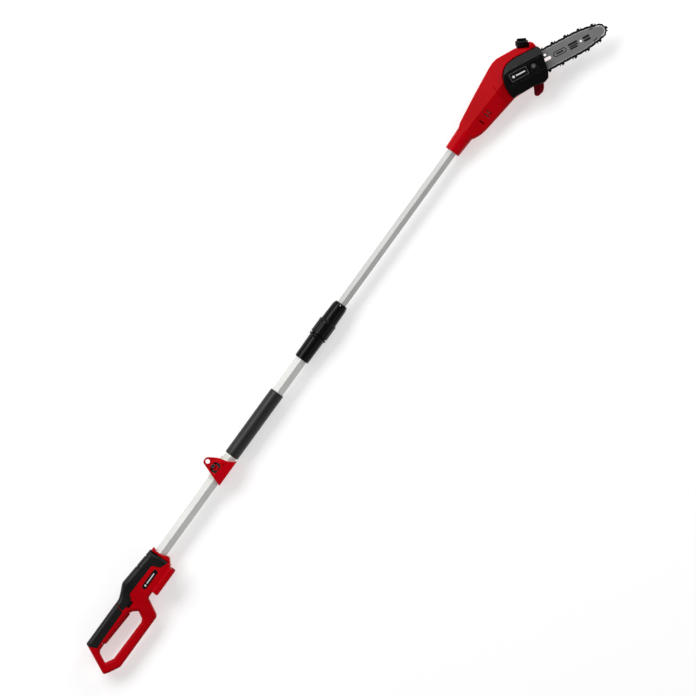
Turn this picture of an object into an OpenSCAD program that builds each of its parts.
// Telescoping pole saw: trigger handle, two hexagonal aluminium tubes with a twist lock
// between them, and a cutting head with motor, bevel drive, bar, chain and chain oiler.
// Drawn along the pole: x runs from the handle to the head, y is the tool's upper side,
// and z is the side that faces up when the tool lies on the ground.

/* [Pole] */
// Width of the outer tube across its flats
outer_af = 31.5; // [30:0.5:33]
// Width of the inner tube across its flats
inner_af = 25.2; // [24:0.2:26]
// Wall of both tubes
tube_wall = 1.6; // [1.2:0.1:2]
// Front end of the outer tube
outer_end = 690; // [685:1:692]
// Rear end of the inner tube
inner_start = 470; // [465:1:500]

/* [Handle] */
// Half width of the motor-style body round the tube
body_half = 26; // [24:1:27]
// Half width of the grip
grip_half = 17; // [15:1:19]
// Half width of the battery foot, which the tool lies on
foot_half = 37; // [36:1:38]
// Wall of the handle shells
shell_wall = 3; // [2.5:0.5:3]
// Thickness of the soft grip skins
skin = 1.5; // [1:0.5:2]

/* [Head] */
// Depth of the head behind the pole axis, which the tool lies on
head_back = 37; // [36:1:38]
// Front face of the head shell under the cover
deck_z = 19; // [19:0.5:20]
// Outer face of the sprocket cover
cover_z = 46; // [46:1:48]
// Tilt of the guide bar below the pole axis, degrees
bar_angle = 25.9; // [20:0.1:30]
// Tilt of the oil cap towards the bar, degrees
cap_tilt = 23; // [20:1:24]
// Lean of the oil cap towards the sprocket cover, degrees
cap_lean = 12; // [10:1:13]
// Motor diameter
motor_d = 42; // [38:1:42]

/* [Cutting gear] */
// Distance from one rivet of the chain to the next
chain_pitch = 9.525; // [9.525:0.001:9.526]
// Number of drive links
drive_links = 33; // [33:1:34]
// Half height of the guide bar
bar_half = 24.4; // [24:0.2:25]
// Thickness of the guide bar
bar_t = 4; // [3.6:0.2:4]
// Radius of the bar's nose
nose_r = 13.5; // [13:0.5:14]
// Number of teeth on the drive sprocket
sprocket_teeth = 6; // [6:1:6]

/* [Hidden] */
$fn = 48;
gap = 0.3;          // between faces of bodies that move past each other
fit = 0.05;         // radial clearance of a running fit
bite = 0.1;         // gap between pieces of one body
hex_n = 6;

// Sprocket axis in the pole's frame; the bar frame starts there
hub_x = 1494;
hub_y = -14;

// The chain's pitch line, in the bar frame: half of it runs round the sprocket, along a long
// arc, a straight, a shorter arc and round the nose, and the other half mirrors it.
rise = 3.4;                                   // rivet line above the bar's edge
wrap_r = chain_pitch * sprocket_teeth / PI;   // pitch line round the sprocket
tip_r = nose_r + rise;                        // pitch line round the nose
line_b = bar_half + rise;                     // pitch line along the straight
rear_a = 100;                                 // where the straight starts
taper = 77;                                   // from the end of the straight to the nose
rear_drop = (pow(rear_a, 2) - pow(line_b - wrap_r, 2)) / (2 * (line_b - wrap_r));
rear_r = rear_drop + line_b;
front_drop = (pow(taper, 2) - pow(line_b - tip_r, 2)) / (2 * (line_b - tip_r));
front_r = front_drop + line_b;
rear_turn = atan2(rear_a, rear_drop);
front_turn = atan2(taper, front_drop);
function arc_len(r, turn) = PI * r * turn / 180;
function arc_turn(r, len) = 180 * len / (PI * r);
len_wrap = arc_len(wrap_r, 90 - rear_turn);
len_rear = arc_len(rear_r, rear_turn);
len_front = arc_len(front_r, front_turn);
len_tip = arc_len(tip_r, 90 - front_turn);
chain_half = chain_pitch * drive_links;
straight = chain_half - len_wrap - len_rear - len_front - len_tip;
straight_end = rear_a + straight;
nose_a = straight_end + taper;
// A point on the upper half, s along the pitch line from behind the sprocket, off outside it
function upper(s, off = 0) =
    s < len_wrap ? let (t = 180 - arc_turn(wrap_r, s)) (wrap_r + off) * [cos(t), sin(t)]
    : s < len_wrap + len_rear
      ? let (t = 90 + rear_turn - arc_turn(rear_r, s - len_wrap))
        [rear_a, -rear_drop] + (rear_r + off) * [cos(t), sin(t)]
    : s < len_wrap + len_rear + straight
      ? [rear_a + s - len_wrap - len_rear, line_b + off]
    : s < chain_half - len_tip
      ? let (t = 90 - arc_turn(front_r, s - len_wrap - len_rear - straight))
        [straight_end, -front_drop] + (front_r + off) * [cos(t), sin(t)]
    : let (t = arc_turn(tip_r, chain_half - s)) [nose_a, 0] + (tip_r + off) * [cos(t), sin(t)];
function on_chain(s, off = 0) =
    let (u = s % (2 * chain_half))
    u <= chain_half ? upper(u, off)
    : let (p = upper(2 * chain_half - u, off)) [p.x, -p.y];
chain_lead = -0.2;                            // where the first rivet lies, in rivet spacings
function rivet_at(k) = on_chain((k + chain_lead) * chain_pitch);
// Whether link k runs round the sprocket or the nose
function wraps(k) =
    let (u = (k + 0.5 + chain_lead) * chain_pitch, v = min(u, 2 * chain_half - u))
    v < len_wrap + 1.8 * chain_pitch || v > chain_half - len_tip - chain_pitch;
rivets = 2 * drive_links;
cutter_every = 4;
bar_z = 24;                                   // middle plane of bar and chain
bar_lo = bar_z - bar_t / 2;
bar_hi = bar_z + bar_t / 2;
groove_half = 0.8;
link_half_t = 0.65;
strap_in = 0.8;
strap_out = 2.1;

// Places on the bar frame
stud_a = 61;
stud_r = 4;
slot_start = 59.2;
slot_end = 109.8;
pin_a = 52;
pin_b = -13;
screw_z = 15.5;
cover_wall = 1.8;
cap_a = 60;
cap_b = 57;
cap_z = -4;
nose_pin_r = 3;

// Drive line
motor_z = -6;
motor_x0 = 1374;
motor_x1 = 1446;
pinion_r = 8.4;
pinion_x0 = 1465;
pinion_x1 = 1476;
wheel_z = -20;
shaft_r = 4;
bearing_r = 11;
bearing_h = 7;
worm_r = 6.5;
pump_b = 11.3;
pump_z = 2;

// Twist lock
sleeve_start = 573;
nut_start = 650;
nut_end = 752;
spigot_r = 20.8;

// Screws, and the bosses and sunk holes that they go in
handle_screw_r = 1.7;
handle_boss_r = 4.4;
head_screw_r = 1.9;
head_boss_r = 4.6;
screw_head_r = 3.4;
screw_head_h = 2.2;
sunk_r = screw_head_r + 0.2;

// Origin: centre of the ground under the tool, at the level it lies on
tip_reach = [4.35, 2.6];    // how far the links stand past the pitch line at the nose
tip_x = hub_x + nose_a * cos(bar_angle) + tip_r + tip_reach.x;
low_y = hub_y - nose_a * sin(bar_angle) - tip_r - tip_reach.y;
handle_tip = -399;
head_top = 51.6;
mid_x = (handle_tip + tip_x) / 2;
mid_y = (low_y + head_top) / 2;

// Outlines in the pole's frame
handle_outline = [[-399, -65], [-360, 18], [-215, 18], [-196, 26], [-178, 34.5], [-172, 35.5],
    [-118, 31.5], [-62, 27.5], [-62, -40], [-168, -43], [-190, -85], [-197, -90], [-357, -90],
    [-389, -73]];
finger_loop = [[-353, -21], [-332, -21], [-328, -23.2], [-231, -25], [-221, -30.5],
    [-211, -42.5], [-221, -60.5], [-229, -65], [-350, -63], [-372.5, -51], [-360, -26]];
rear_skin = [[-377, 30], [-352, -13], [-345, -11], [-237, -10], [-236, -4], [-228.5, 16],
    [-224, 30]];
front_skin = [[-222, 30], [-227, 16], [-234, -4], [-233, -9], [-197, -9], [-188, 3], [-93, 0],
    [-84, -22], [-66, -29], [-61, -29], [-61, 45], [-222, 45]];
head_outline = [[1307, 24], [1320, 28.5], [1400, 40.6], [1480, 51], [1495, 51.6], [1509, 49.4],
    [1564, 23.8], [1596, 6.5], [1599, -3.8], [1595, -28], [1560, -78], [1547, -89],
    [1534, -88], [1509, -72], [1482, -60.5], [1458, -51], [1400, -45], [1344, -38.8],
    [1325, -35], [1307, -27]];
cover_outline = [[1450, -50], [1452, -38], [1462, -13], [1478, 7], [1497, 16.5], [1512, 18.8],
    [1537, 12], [1597, -18], [1597, -28], [1562, -79], [1547, -90.6], [1533, -89.7],
    [1508, -73], [1481, -61.6], [1459, -51]];
trigger_outline = [[-339, -12], [-334, -20], [-329, -24.4], [-232, -29.4], [-226, -24],
    [-226, -13], [-232, -11], [-262, -11], [-264, -7.5], [-268, -7.5], [-270, -11]];
hook_outline = [[1512, -66], [1508, -73], [1492, -87], [1492, -93], [1497, -98], [1512, -100.6],
    [1521, -97], [1538, -84], [1538, -66]];

// ---------- helpers ----------
module place() translate([-mid_x, -mid_y, head_back]) children();

module on_bar() translate([hub_x, hub_y, 0]) rotate([0, 0, -bar_angle]) children();

module slab(outline, z0, z1) translate([0, 0, z0]) linear_extrude(z1 - z0) polygon(outline);

module inset_slab(outline, inset, z0, z1)
    translate([0, 0, z0]) linear_extrude(z1 - z0) offset(delta = -inset) polygon(outline);

module block(lo, hi) translate(lo) cube(hi - lo);

module rod_x(x0, x1, r, y = 0, z = 0)
    translate([x0, y, z]) rotate([0, 90, 0]) cylinder(h = x1 - x0, r = r);

module rod_y(x, y0, y1, r, z)
    translate([x, y0, z]) rotate([-90, 0, 0]) cylinder(h = y1 - y0, r = r);

module rod_z(x, y, z0, z1, r) translate([x, y, z0]) cylinder(h = z1 - z0, r = r);

module hex_x(x0, x1, af)
    translate([x0, 0, 0]) rotate([0, 90, 0])
        cylinder(h = x1 - x0, r = af / 2 / cos(30), $fn = hex_n);

module cone_x(x0, x1, r0, r1)
    translate([x0, 0, 0]) rotate([0, 90, 0]) cylinder(h = x1 - x0, r1 = r0, r2 = r1);

// A straight round wire between two points
module lead(p, q, r) {
    run = q - p;
    across = norm([run.x, run.y]);
    translate(p) rotate([0, atan2(across, run.z), atan2(run.y, run.x)])
        cylinder(h = norm(run), r = r);
}

// A round wire along hand-chosen points: straight runs joined by slightly fatter balls
module wire(points, r) {
    for (i = [1 : len(points) - 1]) {
        lead(points[i - 1], points[i], r);
        if (i < len(points) - 1) translate(points[i]) sphere(1.15 * r);
    }
}

// A compression spring standing on the origin, wound up +z
module coil_spring(r, wire_r, height, turns) {
    sides = 6;
    steps = 12 * turns;
    lift = height - 2 * wire_r;
    ring = [for (i = [0 : steps], k = [0 : sides - 1])
        let (t = 30 * i, q = 360 * k / sides, m = r + wire_r * cos(q))
        [m * cos(t), m * sin(t), wire_r + lift * i / steps + wire_r * sin(q)]];
    side_faces = [for (i = [0 : steps - 1], k = [0 : sides - 1])
        let (a = i * sides + k, b = i * sides + (k + 1) % sides) [a, b, b + sides, a + sides]];
    first = [[for (k = [sides - 1 : -1 : 0]) k]];
    last = [[for (k = [0 : sides - 1]) steps * sides + k]];
    polyhedron(ring, concat(side_faces, first, last));
}

// ---------- handle ----------
pivot = [-334, -16];     // trigger pin
pivot_r = 2;
pivot_half = 15.5;
button_at = [-210, -13];
button_stem = 2.6;
body_start = -197;   // where the handle widens from the grip to the body
handle_bosses = [[-377, -62], [-352, 6], [-205, -72], [-340, -76], [-196, 13], [-120, -32],
    [-72, -32]];

// The closed outer form of the handle, z up to the half widths
module handle_form(shrink = 0) {
    difference() {
        union() {
            inset_slab(handle_outline, shrink, -grip_half + shrink, grip_half - shrink);
            intersection() {
                inset_slab(handle_outline, shrink, -body_half + shrink, body_half - shrink);
                block([body_start + shrink, -100, -body_half], [-62, 60, body_half]);
            }
        }
        translate([0, 0, -body_half]) linear_extrude(2 * body_half)
            offset(delta = shrink) polygon(finger_loop);
    }
}

module handle_half(side) {
    difference() {
        intersection() {
            handle_form();
            block([-420, -100, side < 0 ? -body_half : 0], [0, 60, side < 0 ? 0 : body_half]);
        }
        difference() {
            handle_form(shell_wall);
            for (p = handle_bosses) rod_z(p.x, p.y, -body_half, body_half, handle_boss_r);
        }
        skin_space(rear_skin);
        skin_space(front_skin);
        // trigger slot, tube mouth, button hole and screw holes
        block([-342, -30, -7], [-225, -8, 7]);
        hex_x(-70, -60, outer_af + 2 * bite);
        button_hole();
        rod_z(pivot.x, pivot.y, -pivot_half, pivot_half, pivot_r);
        for (p = handle_bosses) rod_z(p.x, p.y, -body_half, 9, handle_screw_r);
        for (p = handle_bosses)
            rod_z(p.x, p.y, -body_half - 1, -head_of_screw(p), sunk_r);
        block([-146, -46, -body_half + 3], [-71, -35, body_half - 3]);
        rod_x(-232, -200, 2.2, 0, -9);
    }
}

waist_end = -190;    // screws behind it sit at the grip's depth

function head_of_screw(p) = p.x < waist_end ? grip_half - 4 : body_half - 6;

// The space that a soft skin takes up on the outside of the handle
module skin_space(region) {
    difference() {
        slab(region, -body_half - 1, body_half + 1);
        handle_form(skin);
    }
}

module skin_piece(region) {
    difference() {
        intersection() {
            handle_form();
            slab(region, -body_half - 1, body_half + 1);
        }
        handle_form(skin);
        button_hole();
        for (p = handle_bosses) rod_z(p.x, p.y, -body_half - 1, 0, sunk_r);
        hex_x(-70, -60, outer_af + 2 * bite);
    }
}

module handle_shell_left() color("crimson") place() handle_half(-1);
module handle_shell_right() color("crimson") place() handle_half(1);
module rear_grip_skin() color("#232523") place() skin_piece(rear_skin);
module front_grip_skin() color("#232523") place() skin_piece(front_skin);

module handle_badge() color("#141414") place() {
    half_len = 23.5;
    for (z0 = [body_half, -body_half - 0.8])
        translate([-125, -17.7, z0]) linear_extrude(0.8) union() {
            square([2 * half_len, 13], center = true);
            for (s = [-1, 1]) translate([s * half_len, 0]) circle(6.5);
        }
}

module handle_screws() color("#55585c") place()
    for (p = handle_bosses) {
        rod_z(p.x, p.y, -head_of_screw(p), 8, handle_screw_r);
        rod_z(p.x, p.y, -head_of_screw(p) - screw_head_h, -head_of_screw(p), screw_head_r);
    }

module front_collar() color("crimson") place()
    difference() {
        union() {
            slab([[-62, 24.5], [-51, 24.5], [-56, 13], [-55, -5], [-49.5, -20], [-49.5, -26],
                [-62, -37]], -21, 21);
            slab([[-62, 20], [-54, 20], [-56, 13], [-55, -5], [-51, -18], [-62, -26]], -24, 24);
        }
        hex_x(-70, -40, outer_af + 2 * bite);
    }

// Rails that the battery slides on, open to the front
module battery_foot() color("#d01020") place()
    difference() {
        slab([[-148, -41], [-148, -56], [-145, -58.5], [-72, -58.5], [-69, -56], [-69, -41]],
            -foot_half, foot_half);
        block([-143, -56, -30], [-60, -47, 30]);
        block([-143, -60, -26], [-60, -55, 26]);
        block([-143, -48, -body_half + 4], [-74, -40, body_half - 4]);
        slab(handle_outline, -body_half, body_half);
    }

module contact_block() color("#202020") place() {
    block([-142.5, -46.5, -20], [-108, -35, 20]);
    for (z = [-15, -5, 5, 15]) block([-135, -54.5, z - 0.5], [-112, -46.5, z + 0.5]);
}

module control_board() color("#1f6b3a") place() {
    block([-175, -28, -16], [-126, -26, 16]);
    for (x = [-168, -152, -136]) rod_y(x, -26, -20, 4.5, 4);
    block([-160, -33, -12], [-130, -28, 12]);
}

wire_r = 1.5;
module handle_wiring() color("#b03020") place() {
    // the fatter run takes in the end of the thinner one
    lead([-176.3, -27, -9], [-203, 1, -9], wire_r);
    lead([-200, 1, -9.2], [-258.9, 3, -5], 1.2 * wire_r);
    lead([-146, -24.6, -5], [-106.2, 0, -2], wire_r);
    rod_y(-130, -34.8, -33.2, wire_r, 6);
}

module trigger() color("crimson") place()
    difference() {
        slab(trigger_outline, -6.5, 6.5);
        rod_z(pivot.x, pivot.y, -8, 8, pivot_r + fit);
        rod_y(-245, -13, -9, 4.4, 0);
    }

module trigger_pin() color("silver") place()
    rod_z(pivot.x, pivot.y, -pivot_half, pivot_half, pivot_r);

module trigger_spring() color("silver") place()
    translate([-245, -12.9, 0]) rotate([-90, 0, 0]) coil_spring(3, 0.5, 19, 6);

module power_switch() color("#2a2a2a") place()
    difference() {
        block([-296, -5.2, -8], [-260, 10, 8]);
        block([-272, -6, -7.5], [-261.5, 2, 7.5]);
    }

// The lock button's cap is a slanted lozenge that goes in flush through the front shell
button_plan = [[-220, -10], [-201, -10], [-199, -16], [-218, -16]];
button_out = grip_half + 3.5;

module button_hole() {
    rod_z(button_at.x, button_at.y, -body_half, body_half, button_stem + gap);
    translate([0, 0, grip_half - shell_wall - 1]) linear_extrude(20)
        offset(delta = gap) polygon(button_plan);
}

module lock_button() color("#181818") place() {
    slab(button_plan, button_out - 2.4, button_out);
    rod_z(button_at.x, button_at.y, -grip_half + 1, button_out - 2, button_stem);
    rod_z(button_at.x, button_at.y, 6, 8, 5);
}

module lock_spring() color("silver") place()
    translate([button_at.x, button_at.y, -grip_half + shell_wall + bite])
        coil_spring(3.7, 0.4, 19.6, 6);

// ---------- pole ----------
module outer_tube() color("#c4c6c8") place()
    difference() {
        hex_x(-104, outer_end, outer_af);
        hex_x(-105, outer_end + 1, outer_af - 2 * tube_wall);
    }

module foam_grip() color("#1b1b1b") place()
    difference() {
        rod_x(261, 466, 19.5);
        hex_x(260, 467, outer_af);
    }

clamp_outline = [[179.6, -20.8], [196.7, 31.7], [202.5, 48], [207, 51], [212.5, 52], [218, 51],
    [222, 48], [232.5, 31.7], [239, 18], [244, -2], [252, -15], [257.5, -20.8]];
bolt_at = [211.7, 23];
bolt_r = 2.5;
bolt_seat = 19;      // how far out the bolt's head sits
eyelet_at = [212.5, 41.5];
eyelet_r = 6;

// One side of the strap clamp: a pressed cheek over the tube and half of the eyelet
module clamp_half(side) {
    liner_af = outer_af + 4;
    mirror([0, 0, side < 0 ? 1 : 0]) difference() {
        intersection() {
            slab(clamp_outline, bite, 23);
            union() {
                block([170, -30, 0], [270, 33, 23]);
                block([170, 30, 0], [270, 60, 3]);
            }
        }
        hex_x(170, 270, liner_af);
        rod_z(eyelet_at.x, eyelet_at.y, -1, 30, eyelet_r);
        rod_z(bolt_at.x, bolt_at.y, -1, 30, bolt_r + bite);
        rod_z(bolt_at.x, bolt_at.y, bolt_seat, 30, 6.4);
    }
}

module strap_clamp_front() color("crimson") place() clamp_half(1);
module strap_clamp_back() color("crimson") place() clamp_half(-1);

module strap_clamp_liner() color("#dcdad2") place() {
    difference() {
        union() {
            hex_x(181, 256, outer_af + 3.8);
            block([239, 17.9, -4], [247.5, 20.4, 4]);
        }
        hex_x(180, 257, outer_af + 2 * fit);
        block([170, -2 * bite, -30], [270, 2 * bite, 30]);
    }
}

module strap_clamp_bolt() color("#2c2c2c") place() {
    difference() {
        rod_z(bolt_at.x, bolt_at.y, bolt_seat, bolt_seat + 5, 5);
        rod_z(bolt_at.x, bolt_at.y, bolt_seat + 2.5, 25, 2.5, $fn = hex_n);
    }
    rod_z(bolt_at.x, bolt_at.y, -24, bolt_seat, bolt_r);
    translate([bolt_at.x, bolt_at.y, -bolt_seat - 4]) cylinder(h = 4, r = 5.2, $fn = hex_n);
}

module lock_sleeve() color("#1a1a1a") place()
    difference() {
        union() {
            cone_x(sleeve_start, sleeve_start + 3, 19.2, 20.2);
            cone_x(sleeve_start + 3, 641, 20.2, 21.4);
            cone_x(641, 645, 21.4, 24.8);
            rod_x(645, nut_start - 2, 24.8);
            rod_x(nut_start - 2, outer_end + 2, spigot_r);
        }
        hex_x(570, 700, outer_af);
    }

module lock_nut() color("#1a1a1a") place()
    difference() {
        union() {
            rod_x(nut_start, 691, 24.6);
            cone_x(691, 694, 24.6, 21.6);
            cone_x(694, 742, 21.6, 20.4);
            cone_x(742, nut_end, 20.4, 17);
        }
        rod_x(nut_start - 1, outer_end + 3, spigot_r + fit);
        cone_x(outer_end + 2.9, 744, 19.3, 16.3);
        rod_x(743, nut_end + 1, 15.6);
        ribs = 20;
        for (i = [0 : ribs - 1]) rotate([360 * i / ribs, 0, 0]) rod_x(653, 688, 1.1, 25.2);
    }

module lock_collet() color("#d8d8d4") place()
    difference() {
        cone_x(outer_end + 3.4, 743, 18.9, 16);
        hex_x(outer_end, 750, inner_af + 2 * fit);
        for (t = [0, 120, 240]) rotate([t, 0, 0])
            block([outer_end + 12, 10, -0.8], [750, 22, 0.8]);
    }

module inner_tube() color("#8f9396") place()
    difference() {
        hex_x(inner_start, 1300, inner_af);
        hex_x(inner_start - 1, 1301, inner_af - 2 * tube_wall);
    }

module guide_bush() color("#e4e4dc") place()
    difference() {
        union() {
            hex_x(inner_start - 14, inner_start, outer_af - 2 * tube_wall - 2 * fit);
            hex_x(inner_start, inner_start + 12, inner_af - 2 * tube_wall);
        }
        rod_x(inner_start - 15, inner_start + 13, 6);
    }

coil_start = -90;
coil_r = 9;
module coiled_cable() color("#1e1e1e") place() rod_x(coil_start, inner_start - 16, coil_r);

module head_cable() color("#1e1e1e") place()
    wire([[inner_start - 14, 0, 0], [1322, 0, 0], [1348, hub_y, motor_z],
        [motor_x0 - 5.2, hub_y, motor_z]], 3);

// ---------- head ----------
head_bosses = [[1325, 17], [1330, -22], [1400, 31], [1452, -38], [1484, 42], [1586, -20],
    [1531, -79]];
head_grip = 21;      // radius of the neck where it grips the tube
head_sunk = 6;       // depth of the screw seats in the back shell
neck_sunk = 17;      // depth of those where the shell narrows to its neck
neck_end = 1340;

function head_seat(p) = -head_back + (p.x < neck_end ? neck_sunk : head_sunk);

module head_form(shrink = 0) {
    inset_slab(head_outline, shrink, -head_back + shrink, deck_z - shrink);
    cone_x(1245 + shrink, 1308 + shrink, head_grip - shrink, head_grip + 3 - shrink);
}

module head_half(side) {
    far = 60;
    difference() {
        intersection() {
            union() {
                head_form();
                if (side > 0) brow();
            }
            block([1200, -120, side < 0 ? -far : 0], [1700, 80, side < 0 ? 0 : far]);
        }
        difference() {
            head_form(3);
            rod_x(1240, 1309, head_grip - 2);
            for (p = head_bosses) rod_z(p.x, p.y, -far, far, head_boss_r);
            cap_space(cap_r + 2.5, cap_seat - shell_wall, cap_seat);
        }
        hex_x(1240, 1310, inner_af);
        // bores for screws, shaft, oil neck, stud and tension screw
        for (p = head_bosses) rod_z(p.x, p.y, -far, 12, head_screw_r);
        for (p = head_bosses) rod_z(p.x, p.y, -far, head_seat(p), sunk_r);
        rod_z(hub_x, hub_y, 0, far, 13);
        oil_neck(neck_r + 0.6, -8, 30);
        cap_space(cap_r + 1, cap_seat, 40);
        slab(hook_outline, -1, 11.6);
        on_bar() {
            rod_z(stud_a, 0, 0, far, stud_r + bite);
            block([pin_a - 10, pin_b - 5, 12], [pin_a + 12, pin_b + 5, far]);
            rod_x(pin_a, 110, 4.6, pin_b, screw_z);
            rod_z(30, 8, 10, far, 2);
        }
        // cooling slots over the motor
        for (x = [1352, 1374, 1384, 1394])
            block([x - 2, -27, 10], [x + 2, -11, far]);
        for (x = [1360 : 12 : 1432])
            block([x - 2, -30, -far], [x + 2, 6, -20]);
    }
}

// The part of the front shell that stands up round the cover
module brow() {
    difference() {
        slab([[1400, 40.6], [1480, 51], [1495, 51.6], [1509, 49.4], [1564, 23.8], [1596, 6.5],
            [1600, -3.8], [1598, -14], [1537, 14], [1450, 20]], deck_z - 1, 30);
        inset_slab(cover_outline, -0.6, deck_z - 2, 50);
    }
}

module head_shell_back() color("crimson") place() head_half(-1);
module head_shell_front() color("crimson") place() head_half(1);

module head_screws() color("#55585c") place()
    for (p = head_bosses) {
        rod_z(p.x, p.y, head_seat(p), 11, head_screw_r);
        rod_z(p.x, p.y, head_seat(p) - screw_head_h, head_seat(p), screw_head_r);
    }

module motor() color("#9a9c9e") place()
    translate([0, hub_y, motor_z]) {
        difference() {
            union() {
                rod_x(motor_x0, motor_x1, motor_d / 2);
                rod_x(motor_x1, motor_x1 + 4, 9);
                rod_x(motor_x0 - 5, motor_x0, 8);
            }
            rod_x(motor_x0 + 20, motor_x1 + 5, 3 + fit);
        }
    }

module motor_pinion() color("#6e7072") place()
    translate([0, hub_y, motor_z]) {
        teeth = 8;
        root = 6.2;
        rod_x(motor_x0 + 21, pinion_x1, 3);
        rod_x(pinion_x0, pinion_x1, root);
        for (i = [0 : teeth - 1]) rotate([360 * (i + 0.5) / teeth, 0, 0])
            block([pinion_x0, root - 0.5, -0.7], [pinion_x1, pinion_r, 0.7]);
    }

module bevel_gear() color("#6e7072") place()
    translate([hub_x, hub_y, 0]) {
        teeth = 24;
        face_z = motor_z - pinion_r - gap;
        difference() {
            union() {
                translate([0, 0, wheel_z]) cylinder(h = face_z - wheel_z, r = 29);
                for (i = [0 : teeth - 1]) rotate([0, 0, 360 * i / teeth])
                    block([18, -0.7, face_z - 0.5], [28.5, 0.7, face_z + 1.5]);
            }
            rod_z(0, 0, wheel_z - 1, 0, shaft_r);
        }
    }

module drive_shaft() color("#8a8c8e") place()
    translate([hub_x, hub_y, 0]) {
        rod_z(0, 0, -33, bar_hi + 5, shaft_r);
        difference() {
            rod_z(0, 0, -3, 6.6, worm_r - 1);
            rod_z(0, 0, -4, 7, shaft_r - 1);
        }
        for (k = [0 : 3]) rod_z(0, 0, -2.6 + 2.4 * k, -1.4 + 2.4 * k, worm_r);
    }

module shaft_bearings() color("silver") place()
    for (z0 = [-33, 7.6])
        difference() {
            rod_z(hub_x, hub_y, z0, z0 + bearing_h, bearing_r);
            rod_z(hub_x, hub_y, z0 - 1, z0 + bearing_h + 1, shaft_r + fit);
        }

module gear_case() color("#a8aaac") place()
    difference() {
        rod_z(hub_x, hub_y, -33.9, -15, 33);
        rod_z(hub_x, hub_y, -26, -14, 29.6);
        rod_z(hub_x, hub_y, -33, -20, bearing_r);
        block([hub_x - 40, hub_y - 12, -17], [hub_x, hub_y + 12, 0]);
    }

module deck_plate() color("#a8aaac") place()
    difference() {
        intersection() {
            on_bar() block([-24, -30, 12], [86, 30, 15.9]);
            inset_slab(head_outline, shell_wall + bite, 0, 30);
        }
        rod_z(hub_x, hub_y, 0, 30, bearing_r);
        for (p = head_bosses) rod_z(p.x, p.y, 0, 30, head_boss_r + 2 * bite);
        on_bar() {
            rod_z(stud_a, 0, 0, 30, stud_r);
            block([pin_a - 10, pin_b - 5, 0], [pin_a + 12, pin_b + 5, 30]);
            block([pin_a, pin_b - 4.8, 0], [90, pin_b + 4.8, 30]);
            rod_z(30, 8, 0, 30, 2.4);
        }
    }

module sprocket() color("#707274") place()
    translate([hub_x, hub_y, 0]) {
        tip = wrap_r - 3.7;
        root = 9.5;
        difference() {
            union() {
                translate([0, 0, 21]) linear_extrude(6)
                    polygon([for (i = [0 : sprocket_teeth - 1],
                            e = [[-9, tip], [9, tip], [30, root]])
                        let (t = 360 * i / sprocket_teeth + e[0]) e[1] * [cos(t), sin(t)]]);
                rod_z(0, 0, 16.2, 21, 9);
                rod_z(0, 0, 27, 28, 8);
            }
            rod_z(0, 0, 0, 40, shaft_r);
        }
    }

tank_outline = [[-8, 34], [79, 34], [79, 52], [74, 56.4], [-8, 56.4]];
cap_r = 17.5;
cap_seat = 1.5;      // how far out along its own axis the cap's seat lies
cap_top = 20;
neck_r = 12;
neck_top = 12;
seal_t = 1.6;

// Stands children on the oil cap's axis, +z outwards and -y towards the sprocket cover
module cap_frame()
    on_bar() translate([cap_a, cap_b, cap_z]) rotate([0, 0, -cap_tilt])
        rotate([cap_lean - 90, 0, 0]) children();

module oil_neck(r, s0, s1) cap_frame() rod_z(0, 0, s0, s1, r);

// The flat that the cap sits on, open towards the sprocket cover
module cap_space(r, s0, s1) {
    oil_neck(r, s0, s1);
    cap_frame() block([-r, -60, s0], [r, 0, s1]);
}

module oil_tank() color("#e8e2cc") place() {
    flat = cap_seat - shell_wall - gap;
    difference() {
        union() {
            difference() {
                on_bar() slab(tank_outline, -30, 12);
                cap_space(cap_r + 3, flat, 60);
            }
            oil_neck(neck_r, -8, neck_top);
        }
        difference() {
            on_bar() inset_slab(tank_outline, 2, -28, 10);
            cap_space(cap_r + 5, flat - 2, 60);
        }
        oil_neck(9.5, -9, neck_top + 1);
        for (p = head_bosses) rod_z(p.x, p.y, -40, 30, head_boss_r + 2 * bite);
    }
}

module oil_cap() color("#161616") place()
    difference() {
        union() {
            oil_neck(cap_r - 2, cap_seat + 0.4, 7);
            oil_neck(cap_r, 7, cap_top);
            cap_frame() block([-12, -3, cap_top - 1], [12, 3, cap_top + 6]);
        }
        oil_neck(neck_r + fit, 0, neck_top + seal_t + 0.4);
        grips = 18;
        cap_frame() for (i = [0 : grips - 1]) rotate(360 * i / grips)
            rod_z(cap_r + 0.8, 0, 8, cap_top + 1, 1.5);
    }

module oil_cap_seal() color("#303030") place()
    difference() {
        oil_neck(11, neck_top + 0.2, neck_top + 0.2 + seal_t);
        oil_neck(8.5, neck_top - 1, neck_top + 4);
    }

module oil_pump() color("#c8c8c0") place()
    on_bar() difference() {
        block([9, pump_b - 7.5, pump_z - 7], [33, pump_b + 7.5, pump_z + 5.4]);
        rod_x(8, 31, 3 + fit, pump_b, pump_z);
    }

module pump_plunger() color("#8a8c8e") place()
    on_bar() {
        rod_x(-8, 8, 4.5, pump_b, pump_z);
        rod_x(8, 30, 3, pump_b, pump_z);
    }

module oil_tubes() color("#4a4a30") place() on_bar() {
    wire([[26, 33.9, -2], [26, pump_b + 7.6, -2]], 2);
    wire([[30, 8, pump_z + 5.6], [30, 8, 17]], 2);
}

bar_steps = 44;
function half_edge(off) =
    [for (i = [0 : bar_steps]) let (s = len_wrap + (chain_half - len_wrap) * i / bar_steps)
        if (on_chain(s).x > 24) on_chain(s, off)];
function edge(off) =
    let (top = half_edge(off), n = len(top))
    concat(top, [for (i = [n - 2 : -1 : 0]) [top[i].x, -top[i].y]]);

module bar_plan(off) polygon(edge(off));

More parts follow.
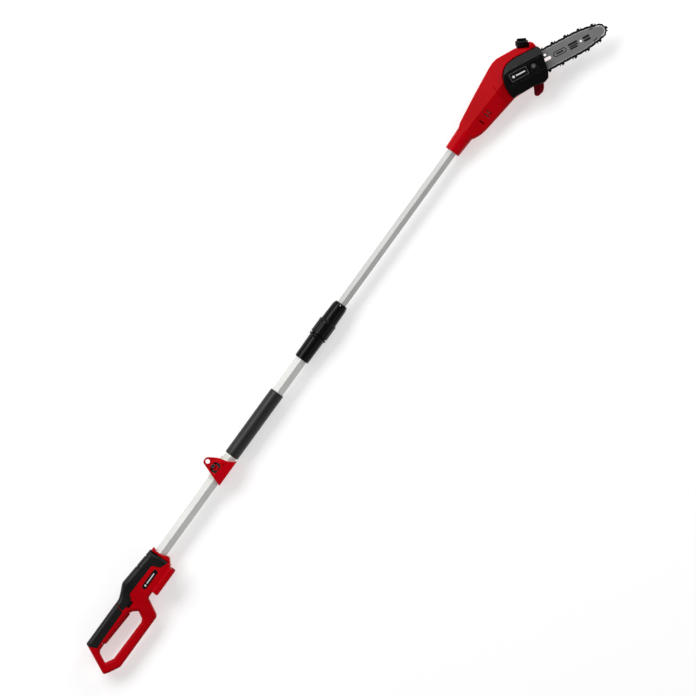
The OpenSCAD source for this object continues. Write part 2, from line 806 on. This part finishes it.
module guide_bar() color("#8b8d8e") place()
    on_bar() difference() {
        union() {
            for (z0 = [bar_lo, bar_z + groove_half])
                translate([0, 0, z0]) linear_extrude(bar_t / 2 - groove_half) bar_plan(-rise);
            translate([0, 0, bar_z - groove_half]) linear_extrude(2 * groove_half)
                bar_plan(-rise - 6);
        }
        block([slot_start, -stud_r - gap, 0], [slot_end, stud_r + gap, 50]);
        for (a = [slot_start, slot_end]) rod_z(a, 0, 0, 50, stud_r + gap);
        for (s = [-1, 1]) rod_z(pin_a, s * pin_b, 0, 50, 3.1);
        rod_z(102, 12, 0, 50, 3.4);
        rod_z(202, 0, 0, 50, 3);
        // room for the nose sprocket round the pin that it turns on
        difference() {
            rod_z(nose_a, 0, bar_z - groove_half, bar_z + groove_half, nose_r - 1.5);
            rod_z(nose_a, 0, 0, 50, nose_pin_r);
        }
    }

module nose_sprocket() color("#707274") place()
    on_bar() translate([nose_a, 0, 0]) {
        teeth = 9;
        difference() {
            translate([0, 0, bar_z - 0.6]) linear_extrude(1.2)
                polygon([for (i = [0 : teeth - 1], e = [[-5, 11], [5, 11], [20, 8]])
                    let (t = 360 * i / teeth + e[0]) e[1] * [cos(t), sin(t)]]);
            rod_z(0, 0, 0, 50, nose_pin_r + fit);
        }
    }

// Puts a link between rivet k and the next one, x along the chain and y outwards
module at_link(k) {
    p = rivet_at(k);
    q = rivet_at(k + 1);
    mid = (p + q) / 2;
    translate([mid.x, mid.y, bar_z]) rotate([0, 0, atan2(q.y - p.y, q.x - p.x)]) children();
}

module rivet_holes() for (s = [-1, 1]) rod_z(s * chain_pitch / 2, 0, -5, 5, 1.3);

module drive_link_set() color("#5c5e60") place()
    on_bar() for (k = [0 : 2 : rivets - 1]) at_link(k) {
        wrapped = wraps(k);
        tang = wrapped ? [[3, -2.4], [-3, -2.4]] : [[4, -3.2], [1.5, -8], [-1, -8], [-3.5, -3.2]];
        difference() {
            translate([0, 0, -link_half_t]) linear_extrude(2 * link_half_t)
                polygon(concat([[-7.6, 0], [-6.6, 2.6], [-3, 2], [3, 2], [6.6, 2.6], [7.6, 0],
                    [6.6, -2.4]], tang, [[-6.6, -2.4]]));
            rivet_holes();
        }
    }

module strap(bottom) polygon([[-7.4, -1], [-6.8, 2.2], [-3.2, 2.8], [3.2, 2.8], [6.8, 2.2],
    [7.4, -1], [6, bottom], [-6, bottom]]);

module tie_strap_set() color("#5c5e60") place()
    on_bar() for (k = [1 : 2 : rivets - 1]) at_link(k)
        for (side = [-1, 1])
            if (!has_cutter(k) || side != cutter_side(k))
                difference() {
                    translate([0, 0, side > 0 ? strap_in : -strap_out])
                        linear_extrude(strap_out - strap_in)
                            strap(wraps(k) ? -2.2 : -3.1);
                    rivet_holes();
                }

// Every fourth rivet spacing has a cutter, but for the one that would sit in the cover's corner
function has_cutter(k) = k > 1 && k % cutter_every == 1;
function cutter_side(k) = k % (2 * cutter_every) == 1 ? 1 : -1;

// A cutter link: tall tooth with a chisel top leaning outwards, and its depth gauge in front
module cutter_set() color("#6c6e70") place()
    on_bar() for (k = [1 : 2 : rivets - 1]) if (has_cutter(k)) at_link(k) {
        side = cutter_side(k);
        bottom = wraps(k) ? -2.2 : -3.1;
        difference() {
            translate([0, 0, side > 0 ? strap_in : -strap_out])
                linear_extrude(strap_out - strap_in)
                    polygon([[-7.4, -1], [-7.4, 4.6], [-3, 6.6], [0.6, 6.8], [0, 4.4], [1.6, 2.4],
                        [4, 2.6], [4.6, 6], [6.6, 5.4], [7.4, -1], [6, bottom], [-6, bottom]]);
            rivet_holes();
        }
        translate([0, 0, side > 0 ? strap_out : -strap_out - 1.6]) linear_extrude(1.6)
            polygon([[-6.6, 4.8], [-3, 6.6], [0.6, 6.8], [0.2, 5.6], [-6.4, 3.8]]);
    }

module rivet_set() color("#7c7e80") place()
    on_bar() for (k = [0 : rivets - 1]) {
        p = rivet_at(k);
        rod_z(p.x, p.y, bar_z - strap_out - 0.3, bar_z + strap_out + 0.3, 1.2);
    }

module bar_stud() color("#8a8c8e") place() on_bar() {
    rod_z(stud_a, 0, 11.5, 45, stud_r);
    difference() {
        rod_z(stud_a, 0, 8, 11.8, 8);
        rod_z(stud_a, 0, 7, 11.5, stud_r - 1);
    }
}

module bar_nut() color("#4b4d50") place() on_bar() {
    difference() {
        union() {
            translate([stud_a, 0, 38.4]) cylinder(h = 6.4, r = 7.5, $fn = hex_n);
            rod_z(stud_a, 0, 37.2, 38.4, 9);
        }
        rod_z(stud_a, 0, 30, 50, stud_r + fit);
    }
}

module sprocket_cover() color("#1a1b1c") place()
    difference() {
        union() {
            difference() {
                slab(cover_outline, deck_z + bite, cover_z);
                inset_slab(cover_outline, cover_wall, deck_z - 1, cover_z - cover_wall);
                on_bar() block([80, -36.5, deck_z - 1], [110, 36.5, 30.5]);
            }
            on_bar() rod_z(stud_a, 0, bar_hi + gap, cover_z - 1, 13);
        }
        on_bar() {
            rod_z(stud_a, 0, 37, 60, 10.4);
            rod_z(stud_a, 0, 0, 60, stud_r + 0.2);
            // two shallow lines along the flat face
            for (b = [-19, 15]) block([-16, b - 0.5, cover_z - 0.8], [90, b + 0.5, cover_z + 1]);
        }
    }

module cover_badge() color("#0d0d0e") place() on_bar()
    difference() {
        block([-8, -12, cover_z], [42, 10, cover_z + 0.6]);
        block([-6, -10, cover_z + 0.3], [40, 8, cover_z + 1]);
    }

module tension_slider() color("#707274") place() on_bar() {
    difference() {
        block([pin_a - 6, pin_b - 4.5, 12.6], [pin_a + 6, pin_b + 4.5, 19.4]);
        rod_x(pin_a - 7, pin_a + 7, 2.5 + fit, pin_b, screw_z);
    }
    rod_z(pin_a, pin_b, 19, bar_hi - 0.4, 3);
}

module tension_screw() color("#8a8c8e") place() on_bar()
    difference() {
        union() {
            rod_x(pin_a - 8, 88, 2.5, pin_b, screw_z);
            rod_x(82, 90, 4, pin_b, screw_z);
        }
        block([88, pin_b - 5, screw_z - 0.6], [91, pin_b + 5, screw_z + 0.6]);
    }

module limb_hook() color("#8c0018") place()
    difference() {
        slab(hook_outline, bite, 11.5);
        for (p = head_bosses) rod_z(p.x, p.y, 0, 30, 2);
    }

handle_shell_left();
handle_shell_right();
rear_grip_skin();
front_grip_skin();
handle_badge();
handle_screws();
front_collar();
battery_foot();
contact_block();
control_board();
handle_wiring();
trigger();
trigger_pin();
trigger_spring();
power_switch();
lock_button();
lock_spring();
outer_tube();
foam_grip();
strap_clamp_front();
strap_clamp_back();
strap_clamp_liner();
strap_clamp_bolt();
lock_sleeve();
lock_nut();
lock_collet();
inner_tube();
guide_bush();
coiled_cable();
head_cable();
head_shell_back();
head_shell_front();
head_screws();
motor();
motor_pinion();
bevel_gear();
drive_shaft();
shaft_bearings();
gear_case();
deck_plate();
sprocket();
oil_tank();
oil_cap();
oil_cap_seal();
oil_pump();
pump_plunger();
oil_tubes();
guide_bar();
nose_sprocket();
drive_link_set();
tie_strap_set();
cutter_set();
rivet_set();
bar_stud();
bar_nut();
sprocket_cover();
cover_badge();
tension_slider();
tension_screw();
limb_hook();
